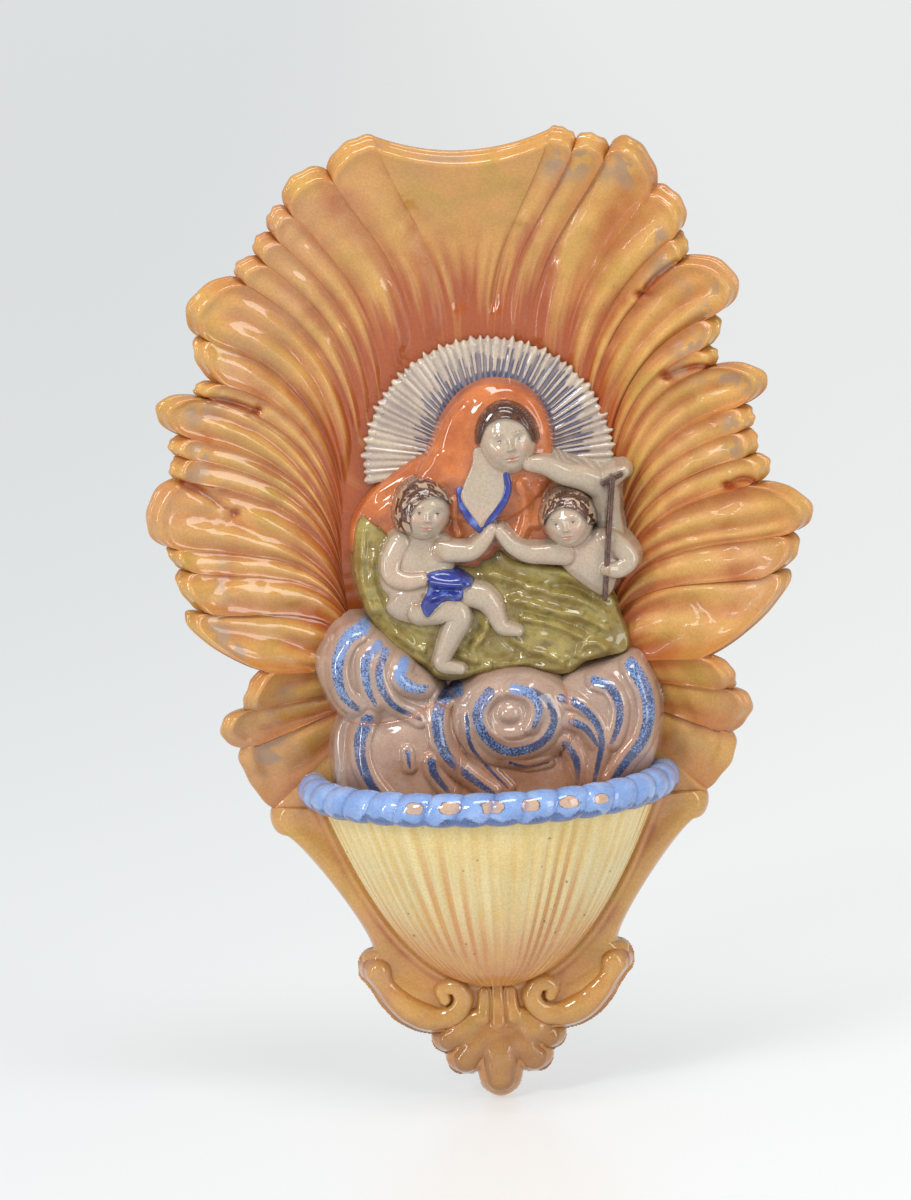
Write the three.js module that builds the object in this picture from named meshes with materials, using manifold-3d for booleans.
// Holy water stoup: a wall-hung basin of glazed earthenware under a leaf-shaped shield.
// A relief of a mother with two children, on clouds and before a rayed nimbus, fills the shield.
// Frame: millimetres, +Z up, the wall is the plane Y = 0 and the front faces -Y.
// The origin is the middle of the flat seat that lies on the wall.
// Depth means distance from the wall, so a point at depth d has Y = -d.

import * as THREE from "three";
import { mergeVertices } from "three/addons/utils/BufferGeometryUtils.js";
import Module from "manifold-3d";

const wasm = await Module();
wasm.setup();

const { lerp, smoothstep, clamp, degToRad } = THREE.MathUtils;

// Joint between two clay pieces, filled with slip on the real stoup
const SEAM = 0.3;
// Slivers under this size are cleared from the cut faces
const CUT_TIDY = 0.16;

// Leaf shield
const SHIELD_WALL = 9;
const SHIELD_EDGE = 5;
const FIELD_HALF_WIDTH = 50;
const FIELD_HALF_HEIGHT = 80;
const FIELD_CENTRE_Z = 27;
const LEAF_FLARE = 28;
const LEAF_ROLL = 5;
const RIB_HEIGHT = 3;
const LIP_HORN = [31, 181];
const LIP_DIP_Z = 174.5;
const SHIELD_FOOT_Z = -64;
// Fingers from the lip's horn down to the foot: [tip x, tip z, x and z of the notch below it, size]
const LEFT_FINGERS = [
  [-42, 178.5, -48, 169.5, 1.2], [-60, 168.5, -63.5, 157.5, 1.1], [-69.5, 155.5, -69, 148.5, 0.9],
  [-75, 146, -74, 140.5, 0.8], [-81.5, 138, -81, 133, 0.8],
  [-98.5, 126, -95, 112, 1.7], [-98.5, 107.5, -92.5, 96.5, 1.1], [-98.5, 95, -97, 91, 0.6],
  [-112.5, 88.5, -105, 77.5, 1.6], [-109, 74, -106, 70.3, 0.8], [-109, 66, -107.5, 62, 0.8],
  [-118.5, 48.5, -109.5, 37.5, 1.7], [-111, 34, -106, 28.5, 0.9], [-108, 22.5, -100.5, 13, 1],
  [-103, 5.5, -80, -9.5, 1.5],
  [-86.5, -19.5, -83.5, -24, 0.9], [-96, -31, -86, -40, 1.3], [-89, -48, -79, SHIELD_FOOT_Z, 1],
];
const RIGHT_FINGERS = [
  [37, 181, 40, 176, 0.8], [46, 179, 52, 173, 1], [62, 175.5, 68.5, 160, 1.2],
  [77.5, 152.5, 75, 143.5, 1], [78.5, 138.5, 76.5, 134, 0.8],
  [95.5, 126, 85.5, 113, 1.6], [89, 107.5, 83.5, 101.5, 0.9], [87.5, 99, 86, 94.5, 0.6],
  [104, 91, 96.5, 80, 1.6], [100, 76, 97.5, 71.5, 0.8], [101, 66.5, 98.5, 62, 0.7],
  [105, 58.5, 101, 52, 0.8], [119, 43, 110.5, 33, 1.7], [114, 26, 103.5, 18, 1],
  [108, 10.5, 82, -11, 1.4],
  [90, -18.5, 86.5, -24, 0.9], [96, -31, 86.5, -42, 1.3], [89.5, -50, 79, SHIELD_FOOT_Z, 1],
];

// Ribs gather low on the field, leave it almost upright and bend out to the tips.
// Those near the top are held together, so that the lip opens out of a narrow channel.
// Turns are shares of a tip's clock angle about the field's centre.
const RIB_GATHER = 1.75;
const RIB_GATHER_MOST = degToRad(140);
const RIB_HOLD = 0.85;
const RIB_HOLD_SPREAD = degToRad(18);
const RIB_START_TURN = 0.12;
const RIB_END_TURN = 1.45;
const RIB_END_MOST = degToRad(76);
const RIB_START_PULL = 0.45;
const RIB_END_PULL = 0.35;

// Bowl and its roped rim
const BOWL_HALF_WIDTH = 62.5;
const BOWL_PROJECTION = 63;
const BOWL_TOP_Z = -61;
const BOWL_FOOT_Z = -134;
const BOWL_WALL = 6;
const BOWL_ROUNDING = 0.45;
const BOWL_FLUTES = 28;
const FLUTE_DEPTH = 1.3;
const ROPE_RADIUS = 6.3;
const ROPE_OVERHANG = 1.5;
const ROPE_BEADS = 16;
const BEAD_NECK = 0.16;
const ROPE_SEAT_ANGLE = degToRad(35);
const ROPE_SEAT_RISE = ROPE_RADIUS * Math.sin(ROPE_SEAT_ANGLE);
const ROPE_BASE_Z = BOWL_TOP_Z + 1.2 * SEAM;

// Lower bracket, scrolls and pendant
const BRACKET_WALL = 11;
const BRACKET_BEVEL = 2;
const BRACKET_CORNER_X = 79;
// Lobes down one side: [tip x, tip z, x and z of the notch below it]
const BRACKET_LOBES = [
  [80.8, -69.5, 77, -74.5], [58, -96, 46, -119.5], [48.8, -127, 39.5, -135],
  [36, -145.5, 23.5, -151], [24.5, -156, 19, -159], [17.5, -166, 8.5, -167],
];
const PENDANT_Z = -177;
const PENDANT_RISE = 7;
const PENDANT_RADIUS = 6.5;
const SCROLL_RADIUS = 5;
const SCROLL_RISE = 6;
// Points along a scroll from its bulb to its eye: [x, z, share of the radius]
const SCROLL_PATH = [
  [42.5, -126.5, 0.95], [36, -134.5, 0.65], [31.5, -141, 0.85],
  [24.5, -145, 0.8], [18, -142, 0.75], [16.5, -135.5, 1.05],
];

// Nimbus
const NIMBUS_CENTRE = [5, 61];
const NIMBUS_RADIUS = 46;
const NIMBUS_RAYS = 52;
const NIMBUS_RISE = 4;
const NIMBUS_PLEAT = 1.6;
const NIMBUS_SPREAD = degToRad(96);

// Hanging lug on the back, a strap of clay that takes a wire
// Its roots are shares of the rib line at the middle of the lip
const LUG_LOW_ROOT = 0.4;
const LUG_HIGH_ROOT = 0.85;
const LUG_THICKNESS = 4;
const LUG_WIDTH = 11;
const LUG_WALL_GAP = 1;

// Relief: how far each kind of piece stands off the field
const CLOUD_RISE = 23;
const CLOUD_SCROLL_RISE = 27;
const CLOUD_FOOT_RISE = 17;
const CLOUD_RIPPLE = 1.4;
const MANTLE_RISE = 11;
const HOOD_RISE = 16.5;
const BUST_RISE = 16.5;
const MOTHER_HEAD_RISE = 23.5;
const MOTHER_HAIR_RISE = 22.5;
const MOTHER_ARM_RISE = 17;
const DRAPERY_RISE = 15;
const DRAPERY_FOLD = 1.6;
const TORSO_RISE = 19.5;
const CHILD_ARM_RISE = 19.5;
const LEG_RISE = 22;
const CHILD_HEAD_RISE = 24;
const CHILD_HAIR_RISE = 23;
const STAFF_RISE = 22;

// Relief: radii of rounded pieces
const TORSO_RADIUS = 9;
const MOTHER_ARM_RADIUS = 6.5;
const CHILD_ARM_RADIUS = 4.3;
const LEG_RADIUS = 6;
const STAFF_RADIUS = 1.3;
const TRIM_RADIUS = 1.7;

// Everything in the relief is rooted in the middle of the shield's wall before it is seated
const ROOT_DEPTH = SHIELD_WALL / 2;

const at = (x, depth, z) => new THREE.Vector3(x, -depth, z);
const clockAngle = (x, z) => Math.atan2(x, z);

// A closed skin over a stack of rings. A ring of one point closes the skin there.
function loft(rings) {
  const points = rings.flat();
  const starts = [];
  rings.reduce((start, ring) => {
    starts.push(start);
    return start + ring.length;
  }, 0);
  const triangles = [];
  for (let r = 0; r + 1 < rings.length; r++) {
    const n = Math.max(rings[r].length, rings[r + 1].length);
    const near = (i) => starts[r] + (i % rings[r].length);
    const far = (i) => starts[r + 1] + (i % rings[r + 1].length);
    for (let i = 0; i < n; i++) {
      if (rings[r].length > 1) triangles.push(near(i), near(i + 1), far(i));
      if (rings[r + 1].length > 1) triangles.push(near(i + 1), far(i + 1), far(i));
    }
  }
  return facingOut(new THREE.BufferGeometry().setFromPoints(points).setIndex(triangles));
}

// Turns every face round if the skin encloses a negative volume.
function facingOut(geometry) {
  const [a, b, c] = [0, 1, 2].map(() => new THREE.Vector3());
  const { array: index } = geometry.index;
  const corners = geometry.getAttribute("position");
  let volume = 0;
  for (let i = 0; i < index.length; i += 3) {
    [a, b, c].forEach((corner, k) => corner.fromBufferAttribute(corners, index[i + k]));
    volume += a.dot(b.cross(c));
  }
  if (volume < 0) geometry.setIndex([...index].reverse());
  return geometry;
}

const middleOf = (ring) =>
  ring.reduce((sum, p) => sum.add(p), new THREE.Vector3()).divideScalar(ring.length);

// Corners alone, welded, with no shading or texture data to keep them apart.
function plain(geometry) {
  const bare = new THREE.BufferGeometry().setAttribute("position", geometry.getAttribute("position"));
  return mergeVertices(bare.setIndex(geometry.index), 1e-4);
}

// A geometry as a solid that can be joined and cut.
function solidOf(geometry) {
  const welded = plain(geometry);
  const vertProperties = welded.getAttribute("position").array;
  const triVerts = new Uint32Array(welded.index.array);
  return new wasm.Manifold(new wasm.Mesh({ numProp: 3, vertProperties, triVerts }));
}

function geometryOf(solid) {
  const { vertProperties, triVerts } = solid.getMesh();
  return new THREE.BufferGeometry()
    .setAttribute("position", new THREE.BufferAttribute(vertProperties, 3))
    .setIndex(new THREE.BufferAttribute(triVerts, 1));
}

// The same skin moved out by the seam all over, for cutting a piece that seats on it.
// A corner moves out far enough for each face round it to clear the seam.
function swollen(geometry) {
  const { array: index } = geometry.index;
  const place = geometry.getAttribute("position");
  const corner = (i) => new THREE.Vector3().fromBufferAttribute(place, i);
  const outward = Array.from({ length: place.count }, () => new THREE.Vector3());
  const facets = Array.from({ length: place.count }, () => []);
  for (let i = 0; i < index.length; i += 3) {
    const ids = [index[i], index[i + 1], index[i + 2]];
    const normal = new THREE.Triangle(...ids.map(corner)).getNormal(new THREE.Vector3());
    ids.forEach((id, k) => {
      const legs = [1, 2].map((step) => corner(ids[(k + step) % 3]).sub(corner(id)));
      outward[id].addScaledVector(normal, legs[0].angleTo(legs[1]));
      facets[id].push(normal);
    });
  }
  const grown = outward.map((way, id) => {
    way.normalize();
    const lean = Math.min(...facets[id].map((normal) => normal.dot(way)));
    return corner(id).addScaledVector(way, SEAM / Math.max(lean, 0.35));
  });
  return new THREE.BufferGeometry().setFromPoints(grown).setIndex([...index]);
}

const largestBody = (solid) =>
  solid.decompose().reduce((best, body) => (body.volume() > best.volume() ? body : best));

// Pieces in the order that a potter lays them, each cut to seat on those already there.
// A piece may be given as several shapes, which are joined.
const stoup = new THREE.Group();
const laid = [];

const joined = (shapes) => shapes.map(solidOf).reduce((whole, part) => whole.add(part));

function lay(name, shape, material) {
  const shapes = [shape].flat().map(plain);
  const boxOf = (part) => new THREE.Box3().setFromBufferAttribute(part.getAttribute("position"));
  const box = shapes.map(boxOf).reduce((whole, part) => whole.union(part));
  const reach = box.clone().expandByScalar(SEAM);
  let solid = joined(shapes);
  for (const below of laid) {
    if (below.box.intersectsBox(reach)) solid = solid.subtract(below.cutter);
  }
  const mesh = new THREE.Mesh(geometryOf(largestBody(solid.simplify(CUT_TIDY))), material);
  mesh.name = name;
  stoup.add(mesh);
  laid.push({ box, cutter: joined(shapes.map(swollen)) });
}

const glaze = (color, roughness = 0.15) =>
  new THREE.MeshStandardMaterial({ color, roughness, metalness: 0 });
const ORANGE = glaze(0xd98a3d);
const MANTLE_RED = glaze(0xd06a2c);
const WHITE = glaze(0xd9cfba);
const FLESH = glaze(0xdccbb4);
const OLIVE = glaze(0x8f8740);
const COBALT = glaze(0x2c3c8c);
const SKY_BLUE = glaze(0x7c9fe0);
const CLOUD_PINK = glaze(0xcfa78c);
const PALE_YELLOW = glaze(0xecd98f);
const HAIR_BROWN = glaze(0x4a3128);
const BISCUIT = glaze(0xb98d74, 0.8);

// Scalloped edges: each finger swells from notch to notch about its tip.

const mirrored = ([x, z, ...rest]) => [-x, z, ...rest];
const mirroredLobe = ([x, z, notchX, notchZ]) => [-x, z, -notchX, notchZ];

// Fingers down one side, each from the notch above it to the notch below it.
function fingersDown(rows, first) {
  return rows.map(([x, z, notchX, notchZ, size = 1], i) => ({
    tip: [x, z],
    from: i ? rows[i - 1].slice(2, 4) : first,
    to: [notchX, notchZ],
    size,
  }));
}

// The same fingers met on the way up.
const fingersUp = (rows, first) =>
  fingersDown(rows, first)
    .map((finger) => ({ ...finger, from: finger.to, to: finger.from }))
    .reverse();

// Edge point of a finger: w runs from 0 to pi across it, and the end is half an ellipse.
// A hollow, which has no size, dips gently instead.
function fingerEdge({ tip, from, to, size }, w) {
  const u = (1 - Math.cos(w)) / 2;
  const swell = size ? Math.sin(w) : Math.sin(w) ** 2;
  return [0, 1].map((k) => {
    const middle = (from[k] + to[k]) / 2;
    return lerp(from[k], to[k], u) + (tip[k] - middle) * swell;
  });
}

// Leaf shield: ribs run from an oval field to the fingers, rising off the wall as they go.

// The hollow of the lip lies between the two horns.
const lipFinger = () => ({ tip: [0, LIP_DIP_Z], from: mirrored(LIP_HORN), to: LIP_HORN, size: 0 });

function leafFingers() {
  const left = fingersUp(LEFT_FINGERS, mirrored(LIP_HORN));
  const right = fingersDown(RIGHT_FINGERS, LIP_HORN);
  const ends = { from: right.at(-1).to, to: left[0].from };
  const base = { tip: [0, SHIELD_FOOT_Z], ...ends, size: 0, base: true };
  return [...left, lipFinger(), ...right, base];
}

// Where a rib line leaves the field, for a clock angle of its end.
function gathered(angle) {
  const held = angle * (1 - RIB_HOLD * Math.exp(-((angle / RIB_HOLD_SPREAD) ** 2)));
  return RIB_GATHER_MOST * Math.tanh((RIB_GATHER * held) / RIB_GATHER_MOST);
}

// One rib line: its start on the field, its end on the edge and the two points that bend it.
function ribLine(finger, w) {
  const u = (1 - Math.cos(w)) / 2;
  const [fromAngle, toAngle] = [finger.from, finger.to].map(([x, z]) => clockAngle(x, z - FIELD_CENTRE_Z));
  const turn = finger.base ? 2 * Math.PI : 0;
  const angle = lerp(fromAngle, toAngle + turn, u);
  const inner = lerp(gathered(fromAngle), gathered(toAngle) + turn, u);
  const end = new THREE.Vector2(...fingerEdge(finger, w));
  const start = new THREE.Vector2(
    FIELD_HALF_WIDTH * Math.sin(inner),
    FIELD_CENTRE_Z + FIELD_HALF_HEIGHT * Math.cos(inner),
  );
  const straight = end.clone().sub(start).normalize();
  const span = start.distanceTo(end);
  const steady = smoothstep(Math.abs(angle), degToRad(90), degToRad(125));
  const heading = (turned) => new THREE.Vector2(Math.sin(turned), Math.cos(turned)).lerp(straight, steady);
  const leave = heading(angle * RIB_START_TURN).multiplyScalar(span * RIB_START_PULL);
  const bent = clamp(angle * RIB_END_TURN, -RIB_END_MOST, RIB_END_MOST);
  const arrive = heading(bent).multiplyScalar(span * RIB_END_PULL);
  const curve = new THREE.CubicBezierCurve(start, start.clone().add(leave), end.clone().sub(arrive), end);
  const flare = LEAF_FLARE * (1 - smoothstep(Math.abs(angle), degToRad(112), degToRad(142)));
  return { curve, w, size: finger.size, flare };
}

// Depth of the leaf's front at share t of a rib line.
function leafDepth({ w, size, flare }, t) {
  const ridge = lerp(Math.sin(w) ** 2, Math.sin(w), t * t);
  const rib = RIB_HEIGHT * size * ridge * smoothstep(t, 0.05, 0.6);
  const roll = LEAF_ROLL * smoothstep(t, 0.85, 1) ** 2 * (flare / LEAF_FLARE);
  return SHIELD_WALL + flare * t ** 1.5 + rib - roll;
}

// Depth of the leaf's back, which lies on the wall behind the field and runs straight to the edge.
function leafBack({ flare }, t) {
  return t * Math.max(0, SHIELD_WALL + flare - LEAF_ROLL - SHIELD_EDGE);
}

function leafShield() {
  const lines = leafFingers().flatMap((finger) => {
    const steps = finger.size > 0 && finger.size < 0.85 ? 3 : 4;
    return Array.from({ length: steps }, (_, i) => ribLine(finger, (Math.PI * i) / steps));
  });
  const ring = (t, depthAt) =>
    lines.map((line) => {
      const { x, y } = line.curve.getPoint(t);
      return at(x, depthAt(line), y);
    });
  const front = (t) => ring(t, (line) => leafDepth(line, t));
  const back = (t) => ring(t, (line) => leafBack(line, t));
  return loft([
    [at(0, SHIELD_WALL, FIELD_CENTRE_Z)],
    ...[0, 0.25, 0.5, 0.72, 0.9, 1].map(front),
    ...[1, 0].map(back),
    [at(0, 0, FIELD_CENTRE_Z)],
  ]);
}

// Relief pieces: columns of clay that rise off the field, with no undercut, as a mould leaves them.

const smoothLoop = (points, count) =>
  new THREE.SplineCurve([...points, points[0]].map(([x, z]) => new THREE.Vector2(x, z)))
    .getPoints(count)
    .slice(0, count)
    .map(({ x, y }) => [x, y]);

const ellipse = ([cx, cz], [rx, rz], tilt, count) =>
  new THREE.EllipseCurve(cx, cz, rx, rz, 0, 2 * Math.PI, false, tilt)
    .getPoints(count)
    .slice(0, count)
    .map(({ x, y }) => [x, y]);

const DOME_ROWS = [0.4, 0.7, 0.9, 1];
const LOAF_END = 0.75;

// A domed pad inside an outline. Its edge stands at a share of its rise.
function pad({ outline, centre, rise, edge = 0.45, detail = () => 0, rows = DOME_ROWS, power = 0.5 }) {
  const place = (share, [x, z]) => [lerp(centre[0], x, share), lerp(centre[1], z, share)];
  const height = (share) => rise * lerp(edge, 1, Math.max(0, 1 - share * share) ** power);
  const front = (share) =>
    outline.map((p) => {
      const [x, z] = place(share, p);
      return at(x, SHIELD_WALL + height(share) + detail(x, z, share), z);
    });
  const back = outline.map(([x, z]) => at(x, ROOT_DEPTH, z));
  const top = at(centre[0], SHIELD_WALL + height(0) + detail(...centre, 0), centre[1]);
  return loft([[top], ...rows.map(front), back, [at(centre[0], ROOT_DEPTH, centre[1])]]);
}

// A straight loaf with round ends from one [x, z, radius, rise] to another.
function loaf(from, to) {
  const along = new THREE.Vector2(to[0] - from[0], to[1] - from[1]).normalize();
  const side = new THREE.Vector2(-along.y, along.x);
  const across = 4;
  const ring = ([x, z, radius, rise], beyond) => {
    const middle = new THREE.Vector2(x, z).addScaledVector(along, beyond * radius);
    const width = radius * Math.sqrt(1 - beyond * beyond);
    const front = Array.from({ length: across + 1 }, (_, i) => {
      const turn = (Math.PI * i) / across;
      const off = width * Math.cos(turn);
      const depth = SHIELD_WALL + rise - radius + width * Math.sin(turn);
      return at(middle.x + side.x * off, depth, middle.y + side.y * off);
    });
    const root = [front.at(-1), front[0]].map((p) => at(p.x, ROOT_DEPTH, p.z));
    return [...front, ...root];
  };
  const rings = [ring(from, -LOAF_END), ring(from, 0), ring(to, 0), ring(to, LOAF_END)];
  return loft([[middleOf(rings[0])], ...rings, [middleOf(rings.at(-1))]]);
}

// A limb with a joint at each point of a path. Sizes along it are shares of a radius and a rise.
const limb = (path, radius, rise) => {
  const sized = path.map(([x, z, r, h]) => [x, z, r * radius, h * rise]);
  return sized.slice(1).map((to, i) => loaf(sized[i], to));
};

// Nimbus: a fan of pleats with a toothed edge, over the part of a disc that the hood leaves free.
function nimbus() {
  const [cx, cz] = NIMBUS_CENTRE;
  const folds = 2 * NIMBUS_RAYS;
  const fan = Array.from({ length: folds + 1 }, (_, i) => {
    const angle = lerp(-NIMBUS_SPREAD, NIMBUS_SPREAD, i / folds);
    const reach = NIMBUS_RADIUS - (i % 2 ? NIMBUS_PLEAT : 0);
    return [cx + reach * Math.sin(angle), cz + reach * Math.cos(angle), i % 2];
  });
  const ring = (depthOf) => fan.map(([x, z, valley]) => at(x, depthOf(valley), z));
  const level = SHIELD_WALL + NIMBUS_RISE;
  return loft([
    [at(cx, level, cz)],
    ring((valley) => level - valley * NIMBUS_PLEAT),
    ring(() => ROOT_DEPTH),
    [at(cx, ROOT_DEPTH, cz)],
  ]);
}

// Bowl: a half cup whose level sections are half ellipses, drawn to a rounded foot.

const bowlShare = (z, inset) =>
  Math.max(0, (z - BOWL_FOOT_Z - inset) / (BOWL_TOP_Z - BOWL_FOOT_Z - inset)) ** BOWL_ROUNDING;

function halfCup(inset, steps, flute, rootDepth, topZ) {
  const section = (z) => {
    const share = bowlShare(Math.min(z, BOWL_TOP_Z), inset);
    const halfWidth = (BOWL_HALF_WIDTH - inset) * share;
    const reach = (BOWL_PROJECTION - SHIELD_WALL - inset) * share;
    const front = Array.from({ length: steps + 1 }, (_, i) => {
      const angle = (Math.PI * i) / steps;
      const cut = flute(angle) * share;
      return at((halfWidth - cut) * Math.cos(angle), SHIELD_WALL + (reach - cut) * Math.sin(angle), z);
    });
    const root = [front.at(-1), front[0]].map((p) => at(p.x, rootDepth, z));
    return [...front, ...root];
  };
  const footZ = BOWL_FOOT_Z + inset;
  const rise = BOWL_TOP_Z - footZ;
  const levels = [0.04, 0.17, 0.46, 1].map((share) => footZ + rise * share);
  if (topZ > BOWL_TOP_Z) levels.push(topZ);
  const rings = levels.map(section);
  const footMiddle = at(0, SHIELD_WALL, footZ);
  return loft([[footMiddle], ...rings, [middleOf(rings.at(-1))]]);
}

function bowl() {
  const flute = (angle) => FLUTE_DEPTH * (1 - Math.abs(Math.sin(BOWL_FLUTES * angle)));
  const outside = solidOf(halfCup(0, BOWL_FLUTES * 2, flute, ROOT_DEPTH, BOWL_TOP_Z));
  const inside = solidOf(halfCup(BOWL_WALL, 20, () => 0, 0, BOWL_TOP_Z + BOWL_WALL));
  return geometryOf(outside.subtract(inside));
}

// Rope along the bowl's lip: a roll with a flat base that swells at each bead.
function rimRope() {
  const halfWidth = BOWL_HALF_WIDTH + ROPE_OVERHANG;
  const reach = BOWL_PROJECTION - SHIELD_WALL + ROPE_OVERHANG;
  const steps = ROPE_BEADS * 3;
  const sides = 6;
  const rings = Array.from({ length: steps + 1 }, (_, i) => {
    const angle = (Math.PI * i) / steps;
    const radius = ROPE_RADIUS * (1 - BEAD_NECK * (1 - Math.abs(Math.sin(ROPE_BEADS * angle))));
    const outward = at(Math.cos(angle) / halfWidth, Math.sin(angle) / reach, 0).normalize();
    return Array.from({ length: sides + 1 }, (_, k) => {
      const turn = lerp(-ROPE_SEAT_ANGLE, Math.PI + ROPE_SEAT_ANGLE, k / sides);
      const up = k % sides ? ROPE_SEAT_RISE + radius * Math.sin(turn) : 0;
      return at(halfWidth * Math.cos(angle), SHIELD_WALL + reach * Math.sin(angle), ROPE_BASE_Z + up)
        .addScaledVector(outward, radius * Math.cos(turn));
    });
  });
  const rooted = (ring) => ring.map((p) => at(p.x, ROOT_DEPTH, p.z));
  const all = [rooted(rings[0]), ...rings, rooted(rings.at(-1))];
  return loft([[middleOf(all[0])], ...all, [middleOf(all.at(-1))]]);
}

// Lower bracket: a scalloped plate that carries the bowl, with a scroll each side and a pendant.
// It is the front half of a plate with bevelled edges on both faces.

function bracket() {
  const corner = [BRACKET_CORNER_X, SHIELD_FOOT_Z];
  const right = fingersDown(BRACKET_LOBES, corner);
  const left = fingersUp(BRACKET_LOBES.map(mirroredLobe), mirrored(corner));
  const foot = { tip: [0, PENDANT_Z], from: right.at(-1).to, to: left[0].from, size: 1 };
  const outline = [...right, foot, ...left].flatMap((lobe) =>
    Array.from({ length: 5 }, (_, k) => fingerEdge(lobe, (Math.PI * k) / 5)));
  const shape = new THREE.Shape([...outline, mirrored(corner)].map(([x, z]) => new THREE.Vector2(x, z)));
  const straight = BRACKET_WALL - BRACKET_BEVEL;
  const plate = new THREE.ExtrudeGeometry(shape, {
    depth: 2 * straight,
    bevelThickness: BRACKET_BEVEL,
    bevelSize: BRACKET_BEVEL,
    bevelOffset: -BRACKET_BEVEL,
    bevelSegments: 1,
  });
  plate.rotateX(Math.PI / 2).translate(0, straight, 0);
  const front = solidOf(plate).trimByPlane([0, -1, 0], 0);
  return geometryOf(front);
}

// Scroll on the bracket: a coil that swells at its outer bulb and at its eye.
function scroll(side) {
  const path = SCROLL_PATH.map(([x, z, share]) => [side * x, z, share, 1]);
  return limb(path, SCROLL_RADIUS, SCROLL_RISE);
}

// Pendant: a small palmette of five petals over the bracket's tip.
function pendant() {
  const petals = [
    [[0, -146], [0, PENDANT_Z + 8], 1],
    [[5, -151], [12, -162], 0.75],
    [[9, -146], [18, -153], 0.65],
  ];
  const petal = ([from, to, size]) =>
    limb([[...from, size, 1], [...to, size, 0.9]], PENDANT_RADIUS, PENDANT_RISE);
  const leftPetals = petals.slice(1).map(([from, to, size]) => [mirrored(from), mirrored(to), size]);
  return [...petals, ...leftPetals].flatMap(petal);
}

// Hanging lug: a strap that bows from the leaf's back towards the wall and returns to it.
function hangingLug() {
  const line = ribLine(lipFinger(), Math.PI / 2);
  const [low, high] = [LUG_LOW_ROOT, LUG_HIGH_ROOT].map((t) => {
    const middleOfWall = (leafDepth(line, t) + leafBack(line, t)) / 2;
    return at(0, middleOfWall, line.curve.getPoint(t).y);
  });
  const near = LUG_WALL_GAP + LUG_THICKNESS / 2;
  const bow = [0.12, 0.45, 0.8].map((share) => at(0, near, lerp(low.z, high.z, share)));
  bow[2].y = lerp(bow[2].y, high.y, 0.2);
  const path = new THREE.CatmullRomCurve3([low, ...bow, high]);
  const section = new THREE.Shape().absellipse(0, 0, LUG_WIDTH / 2, LUG_THICKNESS / 2, 0, 2 * Math.PI);
  return new THREE.ExtrudeGeometry(section, { extrudePath: path, steps: 10, curveSegments: 4 });
}

// The relief, from the back of the scene to its front.

function layClouds() {
  const foot = [
    [-52, -30], [-20, -24], [30, -28], [54, -40], [56, -62], [40, -80], [0, -88], [-40, -80], [-54, -60],
  ];
  const low = [
    [-48, -29], [-38, -28], [-22, -24], [-11, -30], [-8, -48], [-16, -66], [-36, -70], [-50, -56], [-51, -40],
  ];
  const left = [
    [-60, -13], [-57, -2], [-50, 5], [-42, 5], [-32, -4], [-20, -15],
    [-17, -22], [-24, -32], [-38, -34], [-52, -29],
  ];
  const right = [
    [28, -20], [44, -14], [56, -12], [62, -22], [63, -34], [60, -50],
    [50, -64], [38, -64], [28, -52], [25, -34],
  ];
  const curl = [11, -33];
  const ripple = (x, z) => CLOUD_RIPPLE * Math.cos(Math.hypot(x - curl[0], z - curl[1]) / 2);
  const billow = (outline, centre) => pad({ outline: smoothLoop(outline, 18), centre, rise: CLOUD_RISE });
  const mound = pad({ outline: smoothLoop(foot, 20), centre: [0, -55], rise: CLOUD_FOOT_RISE });
  lay("cloud_foot", mound, CLOUD_PINK);
  lay("cloud_low", billow(low, [-32, -46]), CLOUD_PINK);
  lay("cloud_right", billow(right, [46, -38]), CLOUD_PINK);
  lay("cloud_left", billow(left, [-42, -13]), CLOUD_PINK);
  lay("cloud_scroll", pad({
    outline: ellipse(curl, [23, 18], 0, 20),
    centre: curl,
    rise: CLOUD_SCROLL_RISE,
    detail: ripple,
    rows: [0.2, 0.36, 0.52, 0.68, 0.84, 1],
  }), CLOUD_PINK);
}

// A head, or the cap of hair on it: a steep dome over an oval.
function head(centre, radii, tilt, rise) {
  return pad({ outline: ellipse(centre, radii, tilt, 14), centre, rise, edge: 0.6, rows: [0.45, 0.8, 1] });
}

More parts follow.
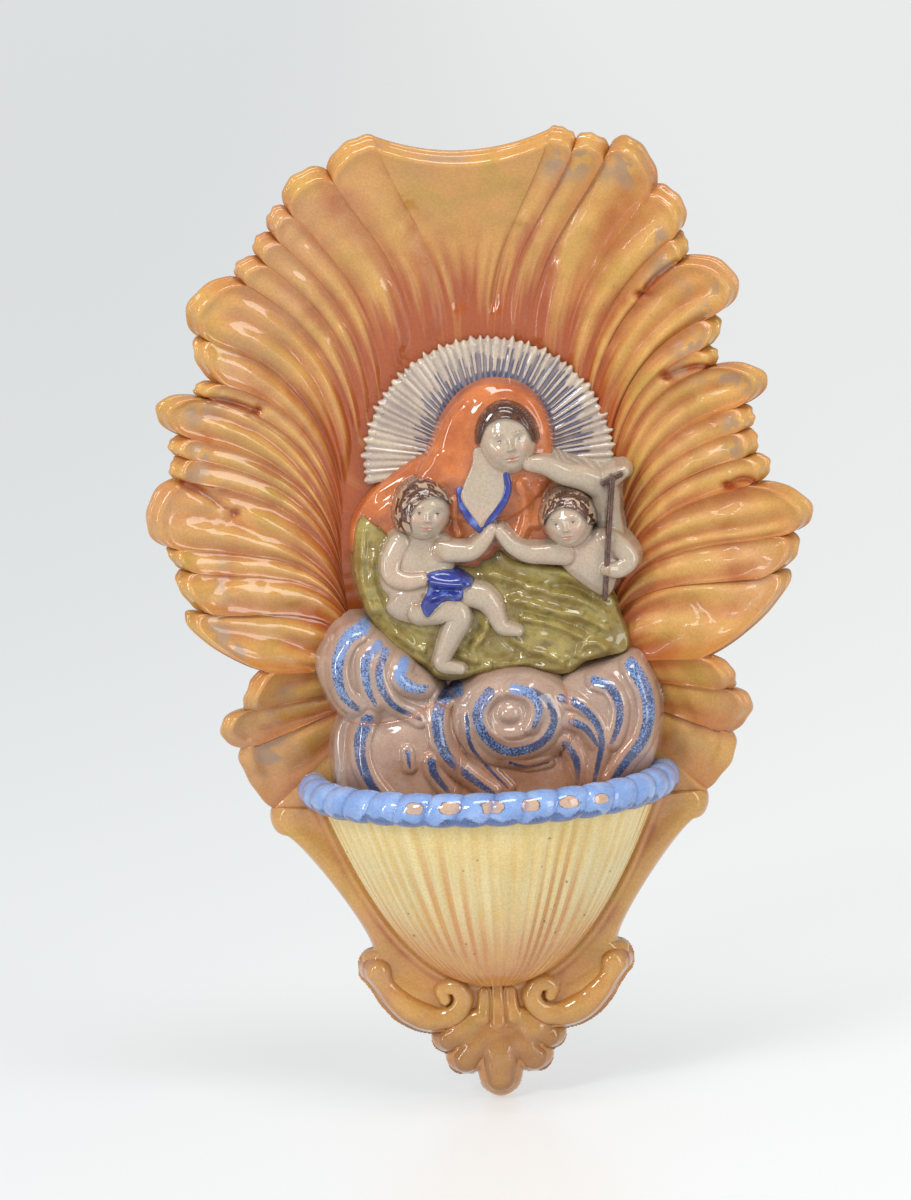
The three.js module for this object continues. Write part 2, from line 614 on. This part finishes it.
function layMother() {
  const cloak = [
    [8, 70], [26, 61], [40, 51], [45, 36], [44, 18], [20, 8],
    [-20, 8], [-42, 20], [-46, 37], [-41, 48], [-26, 58], [-10, 68],
  ];
  const shoulders = pad({ outline: smoothLoop(cloak, 20), centre: [0, 34], rise: MANTLE_RISE });
  const crown = [8, 71.5];
  const arch = ellipse(crown, [20.5, 21], 0, 20);
  const hood = pad({ outline: arch, centre: crown, rise: HOOD_RISE, edge: 0.5 });
  const bust = [[2, 41, 0.9, 0.95], [4, 50, 1, 1], [8, 58, 0.8, 1.05]];
  const arm = [
    [49, 28, 0.95, 0.8], [47, 42, 1, 0.85], [46, 51, 0.95, 0.92],
    [34, 57, 0.7, 1.12], [20, 61, 0.55, 1.35],
  ];
  const hand = [[47, 52, 0.7, 0.92], [53.5, 57, 0.4, 0.98]];
  const neckline = [
    [-6.3, 52, 1, 0.95], [-5, 46, 1, 1.02], [1.8, 38, 1, 1.04], [9, 46, 1, 1.09], [11.3, 53, 1, 1.06],
  ];
  lay("mother_mantle", [shoulders, hood], MANTLE_RED);
  lay("mother_bust", limb(bust, TORSO_RADIUS, BUST_RISE), FLESH);
  lay("mother_neckline", limb(neckline, TRIM_RADIUS, BUST_RISE), COBALT);
  lay("mother_head", head([11, 69.5], [9.5, 12.8], degToRad(8), MOTHER_HEAD_RISE), FLESH);
  lay("mother_hair", head([12, 76], [12.5, 10], degToRad(8), MOTHER_HAIR_RISE), HAIR_BROWN);
  lay("mother_arm", [arm, hand].flatMap((path) => limb(path, MOTHER_ARM_RADIUS, MOTHER_ARM_RISE)), FLESH);
}

function layDrapery() {
  const hem = [
    [-42, 42], [-47, 27], [-46, 12], [-40, -3], [-24, -15], [-4, -23], [12, -19], [27, -22], [42, -20],
    [54, -14], [54, -3], [49, 9], [40, 16], [27, 21], [10, 30], [0, 25], [-14, 24], [-30, 32],
  ];
  const folds = (x, z, share) => DRAPERY_FOLD * Math.sin((0.35 * x + z) / 3.2) * (1 - share ** 4);
  const outline = smoothLoop(hem, 30);
  const drape = pad({ outline, centre: [2, 1], rise: DRAPERY_RISE, edge: 0.5, detail: folds });
  lay("lap_drapery", drape, OLIVE);
}

function laySeatedChild() {
  const torso = [[-30, 8, 1.1, 1.05], [-28, 20, 1, 1], [-24, 32, 0.95, 0.95]];
  const farArm = [[-16, 31, 1.1, 1], [-5, 30, 0.95, 1.05], [6, 36, 0.75, 1.05]];
  const nearArm = [[-34, 32, 1.05, 1.02], [-37, 20, 0.95, 1.05], [-26, 15, 0.75, 1.25]];
  const nearLeg = [
    [-26, 8, 1.1, 0.98], [-9, 6, 1, 1.1], [-13, -6, 0.8, 1], [-15, -12, 0.6, 0.9], [-10, -14, 0.5, 0.9],
  ];
  const farLeg = [[-10, 13, 1, 0.95], [3, 11, 0.9, 1], [8, 2, 0.65, 0.95], [14, -1, 0.5, 0.9]];
  const cloth = [[-24, 21], [-14, 23], [-4, 20], [-4, 12], [-11, 6], [-22, 4], [-27, 11]];
  lay("seated_child_torso", limb(torso, TORSO_RADIUS, TORSO_RISE), FLESH);
  lay("seated_child_far_leg", limb(farLeg, LEG_RADIUS, LEG_RISE), FLESH);
  lay("seated_child_near_leg", limb(nearLeg, LEG_RADIUS, LEG_RISE), FLESH);
  const wrap = pad({ outline: smoothLoop(cloth, 14), centre: [-15, 14], rise: 1.1 * LEG_RISE, edge: 0.8 });
  lay("seated_child_loincloth", wrap, COBALT);
  lay("seated_child_far_arm", limb(farArm, CHILD_ARM_RADIUS, CHILD_ARM_RISE), FLESH);
  lay("seated_child_near_arm", limb(nearArm, CHILD_ARM_RADIUS, CHILD_ARM_RISE), FLESH);
  lay("seated_child_head", head([-18, 46], [9, 10.4], 0, CHILD_HEAD_RISE), FLESH);
  lay("seated_child_hair", head([-20.5, 49.5], [9.3, 9], 0, CHILD_HAIR_RISE), HAIR_BROWN);
}

function layStandingChild() {
  const torso = [[45, 12, 0.75, 0.95], [44, 20, 0.95, 0.98], [40, 27, 0.95, 0.9]];
  const farArm = [[33, 26, 1.1, 1], [20, 26, 0.95, 1.02], [7, 36, 0.75, 1.1]];
  const staffArm = [[48, 27, 1.1, 0.95], [57, 20, 1, 0.85], [46, 17, 0.8, 1.1]];
  lay("standing_child_torso", limb(torso, TORSO_RADIUS, TORSO_RISE), FLESH);
  lay("standing_child_far_arm", limb(farArm, CHILD_ARM_RADIUS, CHILD_ARM_RISE), FLESH);
  lay("standing_child_staff_arm", limb(staffArm, CHILD_ARM_RADIUS, CHILD_ARM_RISE), FLESH);
  lay("standing_child_head", head([32, 38.5], [8.8, 10.2], 0, CHILD_HEAD_RISE), FLESH);
  lay("standing_child_hair", head([33, 43], [9.4, 7.6], 0, CHILD_HAIR_RISE), HAIR_BROWN);
  const cane = [[49, 57, 1, 1], [44, 10, 1, 1]];
  const bar = [[45.5, 53.5, 1, 1], [52.5, 56.5, 1, 1]];
  lay("reed_staff", [cane, bar].flatMap((path) => limb(path, STAFF_RADIUS, STAFF_RISE)), HAIR_BROWN);
}

function build() {
  lay("leaf_shield", leafShield(), ORANGE);
  lay("hanging_lug", hangingLug(), BISCUIT);
  lay("lower_bracket", bracket(), ORANGE);
  lay("scroll_left", scroll(-1), ORANGE);
  lay("scroll_right", scroll(1), ORANGE);
  lay("pendant", pendant(), ORANGE);
  lay("nimbus", nimbus(), WHITE);
  layMother();
  layDrapery();
  layClouds();
  laySeatedChild();
  layStandingChild();
  lay("bowl", bowl(), PALE_YELLOW);
  lay("rim_rope", rimRope(), SKY_BLUE);
}

build();

export default stoup;
